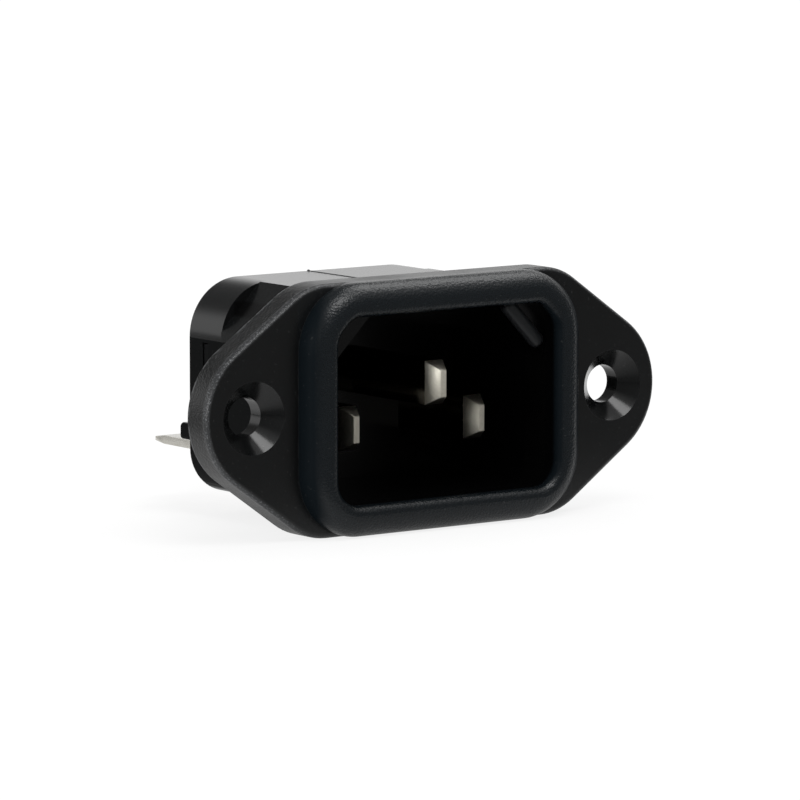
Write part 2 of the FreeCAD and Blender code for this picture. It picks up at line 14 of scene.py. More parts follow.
import bpy
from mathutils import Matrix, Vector


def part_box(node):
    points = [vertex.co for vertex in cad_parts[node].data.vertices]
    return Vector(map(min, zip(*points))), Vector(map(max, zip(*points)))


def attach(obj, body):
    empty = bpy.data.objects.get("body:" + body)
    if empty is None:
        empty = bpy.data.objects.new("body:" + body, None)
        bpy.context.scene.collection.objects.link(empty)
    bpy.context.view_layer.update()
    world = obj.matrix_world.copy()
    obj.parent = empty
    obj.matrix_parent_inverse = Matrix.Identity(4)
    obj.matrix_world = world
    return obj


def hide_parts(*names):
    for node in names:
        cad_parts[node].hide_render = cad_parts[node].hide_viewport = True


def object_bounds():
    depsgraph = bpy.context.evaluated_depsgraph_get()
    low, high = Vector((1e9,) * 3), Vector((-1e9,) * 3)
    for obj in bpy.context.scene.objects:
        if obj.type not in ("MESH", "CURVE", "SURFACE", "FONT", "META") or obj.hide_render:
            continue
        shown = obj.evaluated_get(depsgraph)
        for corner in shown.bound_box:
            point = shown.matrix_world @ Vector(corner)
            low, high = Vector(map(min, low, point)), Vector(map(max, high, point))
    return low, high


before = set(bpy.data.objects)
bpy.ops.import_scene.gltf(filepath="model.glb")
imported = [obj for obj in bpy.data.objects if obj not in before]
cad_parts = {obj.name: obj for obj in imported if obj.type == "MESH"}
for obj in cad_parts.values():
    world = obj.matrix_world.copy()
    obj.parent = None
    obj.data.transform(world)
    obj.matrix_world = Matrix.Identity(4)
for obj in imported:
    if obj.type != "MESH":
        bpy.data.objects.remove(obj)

MM = 0.001
CAD_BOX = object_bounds()
SMOOTH_ANGLE = math.radians(35.0)
EDGE_ANGLE = math.radians(30.0)
FACING_SHARE = 0.99
SAME_PLACE = 1e-6
WHITE = (1.0, 1.0, 1.0, 1.0)

Colour = Tuple[float, float, float, float]
Material = bpy.types.Material
Node = bpy.types.Node
Object = bpy.types.Object
Polygon = bpy.types.MeshPolygon
Socket = bpy.types.NodeSocket
Tree = bpy.types.NodeTree
Value = Union[float, Socket]
Inputs = Dict[Union[int, str], object]
Pair = Tuple[float, float]
Triple = Tuple[float, float, float]
Numbers = Tuple[float, ...]

log = logging.getLogger("inlet")


# --- Node trees ---

class NodeSheet:
    """A thin hand on a node tree, so that a finish reads as a short recipe."""

    def __init__(self, tree: Tree) -> None:
        """Take hold of a tree and empty it."""
        self.tree = tree
        self.tree.nodes.clear()

    def add(self, kind: str, inputs: Optional[Inputs] = None, **settings: object) -> Node:
        """Add a node.

        Args:
            kind: The node's type name.
            inputs: Constants or sockets for its inputs, by name or index.
            **settings: Its properties.

        Returns:
            The new node.
        """
        node = self.tree.nodes.new(kind)
        for name, setting in settings.items():
            setattr(node, name, setting)
        self.fill(node, inputs or {})
        return node

    def fill(self, node: Node, inputs: Inputs) -> None:
        """Link a node's inputs to sockets, or set them to constants.

        Args:
            node: The node.
            inputs: As for add.
        """
        for name, value in inputs.items():
            if isinstance(value, Socket):
                self.tree.links.new(value, node.inputs[name])
            else:
                node.inputs[name].default_value = value

    def math(self, operation: str, first: Value, second: Value = 0.0,
             clamp: bool = False) -> Socket:
        """Work out one arithmetic step, held between 0 and 1 if clamp is set."""
        return self.add("ShaderNodeMath", {0: first, 1: second}, operation=operation,
                        use_clamp=clamp).outputs[0]

    def product(self, first: Value, *others: Value) -> Socket:
        """Multiply values together."""
        return reduce(partial(self.math, "MULTIPLY"), others, first)

    def greatest(self, first: Value, *others: Value) -> Socket:
        """Take the greatest of some values."""
        return reduce(partial(self.math, "MAXIMUM"), others, first)

    def rest(self, share: Value) -> Socket:
        """Take a share away from 1."""
        return self.math("SUBTRACT", 1.0, share)

    def ramp(self, value: Value, low: Value, high: Value, start: Value = 0.0,
             end: Value = 1.0) -> Socket:
        """Map a value smoothly from the span low to high onto start to end, clamped."""
        return self.add("ShaderNodeMapRange", dict(enumerate((value, low, high, start, end))),
                        interpolation_type="SMOOTHSTEP").outputs["Result"]

    def mix(self, amount: Value, first: object, second: object) -> Socket:
        """Mix two colours: an amount of 0 gives the first, 1 the second."""
        return self.add("ShaderNodeMix", {0: amount, 6: first, 7: second},
                        data_type="RGBA").outputs[2]

    def blend(self, first: Value, second: Value, amount: Value) -> Socket:
        """Blend two numbers: an amount of 0 gives the first, 1 the second."""
        return self.add("ShaderNodeMix", {0: amount, 2: first, 3: second},
                        data_type="FLOAT").outputs[0]

    def split(self, vector: Socket) -> Sequence[Socket]:
        """Take a vector apart into its three numbers."""
        return self.add("ShaderNodeSeparateXYZ", {0: vector}).outputs

    def distance(self, place: Socket, middle: Triple) -> Socket:
        """Measure how far a place lies from a fixed point."""
        return self.add("ShaderNodeVectorMath", {0: place, 1: middle},
                        operation="DISTANCE").outputs["Value"]

    def place(self) -> Socket:
        """Read the object coordinates, which are the model's own metres."""
        return self.add("ShaderNodeTexCoord").outputs["Object"]

    def noise(self, where: Socket, size: float, detail: float = 2.0,
              roughness: float = 0.5) -> Socket:
        """Add a noise whose largest features are size wide, in metres."""
        inputs = {"Vector": where, "Scale": 1.0 / size, "Detail": detail, "Roughness": roughness}
        return self.add("ShaderNodeTexNoise", inputs).outputs["Fac"]

    def spots(self, where: Socket, size: float, low: float, high: float,
              detail: float = 2.0, roughness: float = 0.5) -> Socket:
        """Mask the spots of a noise, which start at its low value and are whole at its high."""
        return self.ramp(self.noise(where, size, detail, roughness), low, high)

    def use(self, group: Tree, **inputs: Value) -> Sequence[Socket]:
        """Place a node group, its inputs named with underscores for spaces."""
        named = {name.replace("_", " "): value for name, value in inputs.items()}
        return self.add("ShaderNodeGroup", named, node_tree=group).outputs

    def bump(self, shader: Node, height: Socket, strength: float, depth: float) -> None:
        """Give a shader a relief that is depth metres deep where its height is 1."""
        relief = self.add("ShaderNodeBump", {"Height": height, "Strength": strength,
                                             "Distance": depth})
        self.fill(shader, {"Normal": relief.outputs["Normal"]})

    def close(self, kind: str, amount: Socket, first: Socket, second: Socket) -> None:
        """Mix two shaders by an amount and send the result to an output of this kind."""
        mixed = self.add("ShaderNodeMixShader", {0: amount, 1: first, 2: second})
        self.add(kind, {"Surface": mixed.outputs["Shader"]})


def new_group(name: str, inputs: Dict[str, float], outputs: Sequence[str]
              ) -> Tuple[NodeSheet, Sequence[Socket], Node]:
    """Start a shader node group with the vector input Place and named numbers.

    Args:
        name: The group's name.
        inputs: Default value of each number that goes in.
        outputs: Names of the numbers that come out.

    Returns:
        The sheet to fill, what goes in and the group's output node.
    """
    tree = bpy.data.node_groups.new(name, "ShaderNodeTree")
    new_socket = tree.interface.new_socket
    new_socket("Place", in_out="INPUT", socket_type="NodeSocketVector")
    for label, default in inputs.items():
        socket = new_socket(label, in_out="INPUT", socket_type="NodeSocketFloat")
        socket.default_value = default
    for label in outputs:
        new_socket(label, in_out="OUTPUT", socket_type="NodeSocketFloat")
    sheet = NodeSheet(tree)
    return sheet, sheet.add("NodeGroupInput").outputs, sheet.add("NodeGroupOutput")


@dataclass
class Effects:
    """The effects that more than one finish uses, each a node group that is built once.

    Args:
        smoothness: How far the grain's pebbles run into each other.
        finer: How much finer the pits are than the pebbles.
        detail: Number of finer octaves in the pits.
        sparkle: Noise values where a peak starts and fully catches the light.
        samples: Samples of the rounded normal that finds the edges.
        bend: How far the surface turns where a rubbed edge starts and is whole.
        rubs: Size, start, full value and detail of the spots along rubbed edges.
        smudges: The same for the smudges.
        dust: The same for the specks.
    """

    smoothness: float = 0.6
    finer: float = 1.7
    detail: float = 3.0
    sparkle: Pair = (0.52, 0.72)
    samples: int = 4
    bend: Pair = (0.01, 0.12)
    rubs: Numbers = (0.8 * MM, 0.42, 0.62, 3.0)
    smudges: Numbers = (7.0 * MM, 0.35, 0.7, 4.0)
    dust: Numbers = (0.28 * MM, 0.70, 0.78, 1.0)

    @cached_property
    def grain(self) -> Tree:
        """Build the pebbled grain that a spark-eroded mould leaves.

        Returns:
            The group: inputs Place, Fineness and Pit Share, outputs Height and Sparkle.
        """
        sheet, given, result = new_group("spark_grain", {"Fineness": 5000.0, "Pit Share": 0.35},
                                         ("Height", "Sparkle"))
        where, fineness, share = (given[name] for name in ("Place", "Fineness", "Pit Share"))
        pebbles = sheet.add("ShaderNodeTexVoronoi", {"Vector": where, "Scale": fineness,
                                                     "Smoothness": self.smoothness},
                            feature="SMOOTH_F1").outputs["Distance"]
        finer = sheet.product(fineness, self.finer)
        pits = sheet.add("ShaderNodeTexNoise", {"Vector": where, "Scale": finer,
                                                "Detail": self.detail}).outputs["Fac"]
        height = sheet.math("ADD", sheet.rest(pebbles), sheet.product(pits, share))
        sheet.fill(result, {"Height": height, "Sparkle": sheet.ramp(pits, *self.sparkle)})
        return sheet.tree

    @cached_property
    def edge_wear(self) -> Tree:
        """Build the mask of edges that handling has rubbed.

        Returns:
            The group: inputs Place and Width, output Worn.
        """
        sheet, given, result = new_group("edge_wear", {"Width": 0.3 * MM}, ("Worn",))
        rounded = sheet.add("ShaderNodeBevel", {"Radius": given["Width"]}, samples=self.samples)
        plain = sheet.add("ShaderNodeNewGeometry")
        agree = sheet.add("ShaderNodeVectorMath", {0: rounded.outputs["Normal"],
                                                   1: plain.outputs["Normal"]},
                          operation="DOT_PRODUCT")
        edge = sheet.ramp(sheet.rest(agree.outputs["Value"]), *self.bend)
        broken = sheet.spots(given["Place"], *self.rubs)
        sheet.fill(result, {"Worn": sheet.product(edge, broken)})
        return sheet.tree

    @cached_property
    def handling(self) -> Tree:
        """Build the broad, faint variation of a part that hands and boxes have touched.

        Returns:
            The group: input Place, outputs Smudge and Dust.
        """
        sheet, given, result = new_group("handling", {}, ("Smudge", "Dust"))
        sheet.fill(result, {"Smudge": sheet.spots(given["Place"], *self.smudges),
                            "Dust": sheet.spots(given["Place"], *self.dust)})
        return sheet.tree


# --- Finishes ---

def new_material(name: str) -> Tuple[Material, NodeSheet, Node]:
    """Start a material with an empty tree, one Principled shader and its output.

    Args:
        name: The material's name.

    Returns:
        The material, its sheet and the Principled node.
    """
    material = bpy.data.materials.new(name)
    material.use_nodes = True
    sheet = NodeSheet(material.node_tree)
    shader = sheet.add("ShaderNodeBsdfPrincipled")
    sheet.add("ShaderNodeOutputMaterial", {"Surface": shader.outputs["BSDF"]})
    return material, sheet, shader


@dataclass(frozen=True)
class Gloss:
    """Roughness of the moulding's regions, and what dulls their reflections.

    Args:
        plain: Roughness of the flange's faces where clean and where smudged.
        rim: Roughness of the rim where it looks sideways and where it doesn't.
        sink: Roughness of the countersinks.
        rear: Roughness of the rear body.
        dull: Roughness of its side walls.
        recess: Roughness of the recess.
        glint: How much smoother the rim's grain is at its peaks.
        level: Specular level of the plain faces.
        drop: How much of that a full dulling takes away.
        rim_dulling: Dulling of the rim where it looks sideways and where it doesn't.
        edge_dulling: Dulling of the wall round the flange.
        wall_dulling: Dulling of the rear body's side walls.
    """

    plain: Pair = (0.30, 0.36)
    rim: Pair = (0.46, 0.28)
    sink: float = 0.17
    rear: float = 0.20
    dull: float = 0.42
    recess: float = 0.24
    glint: float = 0.10
    level: float = 0.5
    drop: float = 0.44
    rim_dulling: Pair = (1.26, 0.08)
    edge_dulling: float = 0.28
    wall_dulling: float = 1.10


@dataclass(frozen=True)
class Relief:
    """The moulding's grain.

    Args:
        coarse: Cells to the metre and share of pits in the coarse grain.
        fine: The same for the fine grain.
        edge: Share of the coarse grain on the wall round the flange.
        plain: Share of the fine grain on the plain faces.
        sink: Its share in the countersinks.
        rear: Its share on the rear body.
        flash: Height of the flash line.
        strength: How much of the relief shows.
        depth: Depth of the full grain, in metres.
    """

    coarse: Pair = (4400.0, 0.8)
    fine: Pair = (8500.0, 0.5)
    edge: float = 0.8
    plain: float = 0.16
    sink: float = 0.02
    rear: float = 0.04
    flash: float = 1.2
    strength: float = 0.6
    depth: float = 0.05 * MM


@dataclass(frozen=True)
class MouldedBlack:
    """Black moulded plastic whose texture changes from region to region.

    Args:
        name: The material's name.
        colour: Base colour of the plain faces.
        rim_colour: Base colour of the grained rim.
        recess_shade_colour: Darker base colour of the recess, painted shade for the shadow inside
            it.
        dust_colour: Colour of the few pale specks.
        painted_highlight_colour: Pale colour of the painted highlights on the flash line and on
            the flange's front edge.
        worn_colour: Colour of rubbed edges.
        worn_share: How much of it they show.
        dust_share: The same for the specks.
        flash_highlight_share: The same for the painted highlight on the flash line.
        front_highlight_sparkle: Sparkle at which the painted highlight on the flange's front edge
            shows its full colour.
        front_highlight_share: How much of that painted highlight shows where nothing sparkles.
        wear_width: Width of the rubbed edges, in metres.
        gloss: Roughness and reflections of its regions.
        relief: Its grain.
        rim_half: Half width of the grained rim, in metres.
        rim_back: Where the rim meets the flange, along Y.
        rim_seam: Half width over which its texture ends.
        recess_half: Half width and half height of the recess.
        recess_start: Where its texture starts and is whole, along Y.
        recess_seam: Width over which it ends round the recess.
        screw_x: Distance of a screw hole from the middle plane.
        sink_radius: Radius of a countersink.
        flange_back: Where the flange meets the rear body, along Y.
        flash_y: Where the mould's parting line and its painted highlight run, along Y.
        flash_width: Half width of its soft and of its full part.
        flash_dashes: Size, start and full value of its dashes.
        front_highlight_fade: Where the painted highlight on the flange's front edge starts and is
            whole, along Y.
        front_highlight_end: Where that painted highlight ends, along Y.
        wall_top: Height where the side walls' dull finish ends.
        turned: Forward part of the normal where a wall starts and is whole.
        sideways: Sideways part where the facing mask is least and full, and the least.
        right_weight: Weight of a lean to the right in it.
        wall_turn: Sideways part where a side wall starts and is whole.
        seam: Half width over which one texture runs into the next.
    """

    name: str
    colour: Colour = (0.0046, 0.0050, 0.0052, 1.0)
    rim_colour: Colour = (0.0050, 0.0074, 0.0094, 1.0)
    recess_shade_colour: Colour = (0.0012, 0.0012, 0.0013, 1.0)
    dust_colour: Colour = (0.045, 0.046, 0.046, 1.0)
    painted_highlight_colour: Colour = (0.125, 0.129, 0.135, 1.0)
    worn_colour: Colour = (0.030, 0.032, 0.034, 1.0)
    worn_share: float = 0.22
    dust_share: float = 0.35
    flash_highlight_share: float = 0.5
    front_highlight_sparkle: float = 0.8
    front_highlight_share: float = 0.22
    wear_width: float = 0.25 * MM
    gloss: Gloss = Gloss()
    relief: Relief = Relief()
    rim_half: float = 15.3 * MM
    rim_back: float = -3.05 * MM
    rim_seam: float = 0.16 * MM
    recess_half: Pair = (12.28 * MM, 8.43 * MM)
    recess_start: Pair = (-4.6 * MM, -4.0 * MM)
    recess_seam: float = 0.20 * MM
    screw_x: float = 20.0 * MM
    sink_radius: float = 3.3 * MM
    flange_back: float = 0.02 * MM
    flash_y: float = -0.16 * MM
    flash_width: Pair = (0.08 * MM, 0.03 * MM)
    flash_dashes: Numbers = (0.9 * MM, 0.44, 0.52)
    front_highlight_fade: Pair = (-2.05 * MM, -2.60 * MM)
    front_highlight_end: float = -2.975 * MM
    wall_top: float = 5.0 * MM
    turned: Pair = (0.985, 0.8)
    sideways: Triple = (0.78, 0.42, 0.15)
    right_weight: float = 1.45
    wall_turn: Pair = (0.35, 0.60)
    seam: float = 0.02 * MM

    def build(self, effects: Effects) -> Material:
        """Build the material.

        Args:
            effects: The shared node groups.

        Returns:
            The finished material.
        """
        material, sheet, shader = new_material(self.name)
        place = sheet.place()
        x, y, z = sheet.split(place)
        side = sheet.math("ABSOLUTE", x)
        rim = self.mask_rim(sheet, side, y)
        sink = self.mask_sink(sheet, side, y, z)
        recess = self.mask_recess(sheet, side, y, sheet.math("ABSOLUTE", z))
        outside = sheet.rest(recess)
        rear = sheet.ramp(y, self.flange_back - self.seam, self.flange_back + self.seam)
        edge, facing, wall = self.mask_turned(sheet, y)
        edge = sheet.product(edge, outside, sheet.rest(sink))
        dull = sheet.product(rear, wall, sheet.ramp(z, self.wall_top + self.seam,
                                                    self.wall_top - self.seam))
        flash = sheet.product(edge, self.mask_flash(sheet, place, y))
        grain = self.relief
        coarse, fine = (sheet.use(effects.grain, Place=place, Fineness=fineness, Pit_Share=pits)
                        for fineness, pits in (grain.coarse, grain.fine))
        worn = sheet.use(effects.edge_wear, Place=place, Width=self.wear_width)
        touch = sheet.use(effects.handling, Place=place)

        rubbed = sheet.product(worn["Worn"], outside, self.worn_share)
        # Painted highlight: a pale colour along the flange's front edge, strongest where the
        # coarse grain sparkles.
        lip = sheet.product(edge, sheet.ramp(y, *self.front_highlight_fade),
                            sheet.math("GREATER_THAN", y, self.front_highlight_end),
                            sheet.ramp(coarse["Sparkle"], 0.0, self.front_highlight_sparkle, self.front_highlight_share))
        # Painted highlight: the dashed flash line at the flange's back edge and the front edge
        # share one pale colour.
        pale = sheet.greatest(sheet.product(flash, self.flash_highlight_share), lip)
        dust = sheet.product(touch["Dust"], outside, self.dust_share)
        tone = self.colour
        # Painted shade: the recess mask darkens the base colour inside the recess.
        for amount, colour in ((rim, self.rim_colour), (recess, self.recess_shade_colour),
                               (rubbed, self.worn_colour), (pale, self.painted_highlight_colour),
                               (dust, self.dust_colour)):
            tone = sheet.mix(amount, tone, colour)

        gloss = self.gloss
        rough = sheet.ramp(touch["Smudge"], 0.0, 1.0, *gloss.plain)
        rough = sheet.blend(rough, sheet.blend(*gloss.rim, facing), rim)
        for amount, mask in ((gloss.sink, sink), (gloss.rear, rear), (gloss.dull, dull),
                             (gloss.recess, recess)):
            rough = sheet.blend(rough, amount, mask)
        glint = sheet.product(coarse["Sparkle"], rim, gloss.glint)
        calmer = sheet.greatest(sheet.product(rim, sheet.blend(*gloss.rim_dulling, facing)),
                                sheet.product(edge, gloss.edge_dulling),
                                sheet.product(dull, gloss.wall_dulling))
        level = sheet.math("SUBTRACT", gloss.level, sheet.product(calmer, gloss.drop))
        sheet.fill(shader, {"Base Color": tone, "Specular IOR Level": level,
                            "Roughness": sheet.math("SUBTRACT", rough, glint, clamp=True)})

        strong = sheet.product(sheet.greatest(sheet.product(rim, facing),
                                              sheet.product(edge, grain.edge)), outside)
        calm = sheet.product(sheet.rest(strong), outside,
                             sheet.blend(grain.plain, grain.sink, sink))
        calm = sheet.blend(calm, grain.rear, rear)
        height = sheet.product(coarse["Height"], strong)
        for form, share in ((fine["Height"], calm), (flash, grain.flash)):
            height = sheet.math("ADD", height, sheet.product(form, share))
        sheet.bump(shader, height, grain.strength, grain.depth)
        return material

    def mask_rim(self, sheet: NodeSheet, side: Socket, y: Socket) -> Socket:
        """Mask the raised rim, from the distance to the middle plane and the depth."""
        front = sheet.ramp(y, self.rim_back + self.rim_seam, self.rim_back - self.rim_seam)
        return sheet.product(sheet.math("LESS_THAN", side, self.rim_half), front)

    def mask_sink(self, sheet: NodeSheet, side: Socket, y: Socket, z: Socket) -> Socket:
        """Mask the two countersunk screw holes, from the distance to the middle plane, y and z."""
        flat = sheet.add("ShaderNodeCombineXYZ", {0: side, 2: z}).outputs[0]
        return sheet.product(sheet.ramp(sheet.distance(flat, (self.screw_x, 0.0, 0.0)),
                                        self.sink_radius, self.sink_radius - self.seam),
                             sheet.math("LESS_THAN", y, self.flange_back))

    def mask_recess(self, sheet: NodeSheet, side: Socket, y: Socket, rise: Socket) -> Socket:
        """Mask the recess, from two distances off its axis and the depth."""
        inside = (sheet.ramp(far, half + self.recess_seam, half)
                  for far, half in zip((side, rise), self.recess_half))
        return sheet.product(sheet.ramp(y, *self.recess_start), *inside)

    def mask_turned(self, sheet: NodeSheet, y: Socket) -> Tuple[Socket, Socket, Socket]:
        """Mask faces by the way they look.

        Args:
            sheet: The tree.
            y: Depth.

        Returns:
            The masks of the flange's wall, of what doesn't look sideways and of side walls.
        """
        normal = sheet.split(sheet.add("ShaderNodeNewGeometry").outputs["Normal"])
        across, along = (sheet.math("ABSOLUTE", part) for part in normal[:2])
        wall = sheet.product(sheet.ramp(along, *self.turned),
                             sheet.math("LESS_THAN", y, self.flange_back),
                             sheet.math("GREATER_THAN", y, self.rim_back))
        lean = sheet.greatest(across, sheet.product(normal[0], self.right_weight))
        return wall, sheet.ramp(lean, *self.sideways), sheet.ramp(across, *self.wall_turn)

    def mask_flash(self, sheet: NodeSheet, place: Socket, y: Socket) -> Socket:
        """Mask the broken flash line that the mould leaves, with its pale painted highlight, from
        the place and its depth.
        """
        off = sheet.math("ABSOLUTE", sheet.math("SUBTRACT", y, self.flash_y))
        return sheet.product(sheet.ramp(off, *self.flash_width),
                             sheet.spots(place, *self.flash_dashes))


@dataclass(frozen=True)
class PlatedMetal:
    """Nickel-plated brass with rolling marks, duller patches and rubbed edges, their pale colour
    partly a painted highlight.

    Args:
        name: The material's name.
        colour: The plating's colour.
        stain: Colour of the duller patches.
        worn_edge_highlight: Colour of the rubbed edges, partly wear and partly a painted
            highlight.
        roughness: Least and greatest roughness between the rolling marks.
        streak: Stretch of the marks along each axis.
        mark_size: Size of the largest marks, in metres.
        relief: Depth of the marks, in metres.
        blotches: Size, start, full value, detail and roughness of the duller patches.
        wear_width: Width of the rubbed edges, in metres.
        stain_share: How much of their colour the patches show.
        worn_edge_highlight_share: The same for the rubbed edges and their painted highlight.
        dulled: Values of the marks where they start and fully show in a patch.
        marks: Values of the marks at their least and greatest roughness.
        fineness: Cells to the metre in the grain under the marks.
        pits: That grain's share of pits.
        grain_share: Its height against the marks.
        strength: How much of the relief shows.
    """

    name: str
    colour: Colour
    stain: Colour = (0.46, 0.44, 0.38, 1.0)
    worn_edge_highlight: Colour = (0.86, 0.83, 0.75, 1.0)
    roughness: Pair = (0.16, 0.30)
    streak: Triple = (1.0, 0.12, 1.0)
    mark_size: float = 0.16 * MM
    relief: float = 0.008 * MM
    blotches: Numbers = (1.1 * MM, 0.45, 0.75, 4.0, 0.6)
    wear_width: float = 0.10 * MM
    stain_share: float = 0.8
    worn_edge_highlight_share: float = 0.6
    dulled: Pair = (0.3, 0.7)
    marks: Pair = (0.25, 0.75)
    fineness: float = 9000.0
    pits: float = 0.9
    grain_share: float = 0.6
    strength: float = 0.5

    def build(self, effects: Effects) -> Material:
        """Build the material.

        Args:
            effects: The shared node groups.

        Returns:
            The finished material.
        """
        material, sheet, shader = new_material(self.name)
        place = sheet.place()
        stretch = sheet.add("ShaderNodeMapping", {"Vector": place, "Scale": self.streak})
        lines = sheet.noise(stretch.outputs["Vector"], self.mark_size, 4.0, 0.65)
        worn = sheet.use(effects.edge_wear, Place=place, Width=self.wear_width)
        grain = sheet.use(effects.grain, Place=place, Fineness=self.fineness, Pit_Share=self.pits)
        dull = sheet.product(sheet.spots(place, *self.blotches),
                             sheet.ramp(lines, *self.dulled), self.stain_share)
        tone = sheet.mix(dull, self.colour, self.stain)
        # The rubbed edges' pale colour is partly wear and partly a painted highlight.
        rubbed = sheet.product(worn["Worn"], self.worn_edge_highlight_share)
        height = sheet.math("ADD", lines, sheet.product(grain["Height"], self.grain_share))
        sheet.fill(shader, {"Base Color": sheet.mix(rubbed, tone, self.worn_edge_highlight), "Metallic": 1.0,
                            "Roughness": sheet.ramp(lines, *self.marks, *self.roughness)})
        sheet.bump(shader, height, self.strength, self.relief)
        return material


# --- Modelling by hand ---

class Face(Enum):
    """A side of a piece, by the way its faces point."""

    FRONT = (0.0, -1.0, 0.0)
    REAR = (0.0, 1.0, 0.0)
    BELOW = (0.0, 0.0, -1.0)
    ABOVE = (0.0, 0.0, 1.0)


class Bench:
    """The few modelling moves that the pieces share, all on the active object."""

    @staticmethod
    def clear() -> None:
        """Deselect everything."""
        bpy.ops.object.select_all(action="DESELECT")

    @classmethod
    def new(cls, name: str, primitive: Callable[..., object], **settings: object) -> Object:
        """Add a primitive and put its place, turn and scale into its mesh.

        Args:
            name: The piece's name.
            primitive: The operator that adds it.
            **settings: The operator's settings.

        Returns:
            The new object, active and selected.
        """
        cls.clear()
        primitive(**settings)
        piece = bpy.context.object
        piece.name = piece.data.name = name
        bpy.ops.object.transform_apply(location=True, rotation=True, scale=True)
        return piece

    @classmethod
    def block(cls, name: str, low: Vector, high: Vector) -> Object:
        """Add a block between its lowest and its highest corner."""
        return cls.new(name, bpy.ops.mesh.primitive_cube_add, size=1.0,
                       location=(low + high) / 2, scale=high - low)

    @classmethod
    def rod(cls, name: str, start: Vector, end: Vector, radius: float, sides: int = 48) -> Object:
        """Add a round rod between two points, with so many flat sides."""
        turn = (end - start).to_track_quat("Z", "Y").to_euler()
        return cls.new(name, bpy.ops.mesh.primitive_cylinder_add, vertices=sides, radius=radius,
                       depth=(end - start).length, location=(start + end) / 2, rotation=turn)

    @staticmethod
    def pick_faces(piece: Object, wanted: Callable[[Polygon], bool]) -> None:
        """Select the faces that a test picks out, and enter edit mode on them.

        Args:
            piece: The active object.
            wanted: The test, given a polygon.
        """
        bpy.ops.object.mode_set(mode="EDIT")
        bpy.ops.mesh.select_mode(type="FACE")
        bpy.ops.mesh.select_all(action="DESELECT")
        bpy.ops.object.mode_set(mode="OBJECT")
        for polygon in piece.data.polygons:
            polygon.select = wanted(polygon)
        bpy.ops.object.mode_set(mode="EDIT")

    @staticmethod
    def facing(side: Face) -> Callable[[Polygon], bool]:
        """Make a test for faces that point one way."""
        return lambda polygon: polygon.normal.dot(Vector(side.value)) > FACING_SHARE

    @classmethod
    def pick_end(cls, piece: Object, side: Face) -> None:
        """Select the outermost faces that point one way, and enter edit mode on them.

        Args:
            piece: The active object.
            side: The way they point.
        """
        reach = {polygon.index: polygon.center.dot(Vector(side.value))
                 for polygon in piece.data.polygons if cls.facing(side)(polygon)}
        least = max(reach.values()) - SAME_PLACE
        cls.pick_faces(piece, lambda polygon: reach.get(polygon.index, -math.inf) > least)

    @staticmethod
    def leave() -> None:
        """Go back to object mode."""
        bpy.ops.object.mode_set(mode="OBJECT")

    @classmethod
    def grow(cls, piece: Object, side: Face, length: float,
             spread: Triple = (1.0, 1.0, 1.0)) -> None:
        """Extrude one end of a piece and resize the new end about its own middle.

        Args:
            piece: The active object.
            side: The end, by the way it points.
            length: How far the end moves.
            spread: Resizing of the new end along each axis.
        """
        cls.pick_end(piece, side)
        move = Vector(side.value) * length
        bpy.ops.mesh.extrude_region_move(TRANSFORM_OT_translate={"value": move})
        bpy.ops.transform.resize(value=spread)
        cls.leave()

    @classmethod
    def apply(cls, piece: Object, kind: str, **settings: object) -> None:
        """Add a modifier and apply it.

        Args:
            piece: The object.
            kind: The modifier's type name.
            **settings: The modifier's properties.
        """
        cls.clear()
        piece.select_set(True)
        bpy.context.view_layer.objects.active = piece
        modifier = piece.modifiers.new(kind.lower(), kind)
        for name, setting in settings.items():
            setattr(modifier, name, setting)
        bpy.ops.object.modifier_apply(modifier=modifier.name)

    @classmethod
    def combine(cls, piece: Object, tool: Object, operation: str) -> None:
        """Join a tool to a piece, or cut it out, and remove the tool."""
        cls.apply(piece, "BOOLEAN", object=tool, operation=operation, solver="EXACT")
        bpy.data.objects.remove(tool)

    @classmethod
    def soften(cls, piece: Object, width: float, segments: int = 2) -> None:
        """Round the sharp edges, so wide and in so many steps, and smooth the shading."""
        cls.apply(piece, "BEVEL", width=width, segments=segments, limit_method="ANGLE",
                  angle_limit=EDGE_ANGLE, harden_normals=False)
        bpy.ops.object.shade_smooth_by_angle(angle=SMOOTH_ANGLE)


def dress(piece: Object, finish: Material) -> None:
    """Give a piece one finish all over.

    Args:
        piece: The object.
        finish: The material.
    """
    if piece.data.materials:
        for index in range(len(piece.data.materials)):
            piece.data.materials[index] = finish
    else:
        piece.data.materials.append(finish)


# --- Sub-assemblies ---

@dataclass
class Moulding:
    """The black housing and its rear cover, as packed, in their moulded finishes.

    Args:
        housing_finish: The housing's material.
        cover_finish: The cover's material.
    """

    housing_finish: Material
    cover_finish: Material

    def build(self) -> None:
        """Dress both mouldings."""
        dress(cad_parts["housing"], self.housing_finish)
        dress(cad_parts["rear_cover"], self.cover_finish)
        log.info("housing and rear cover dressed")


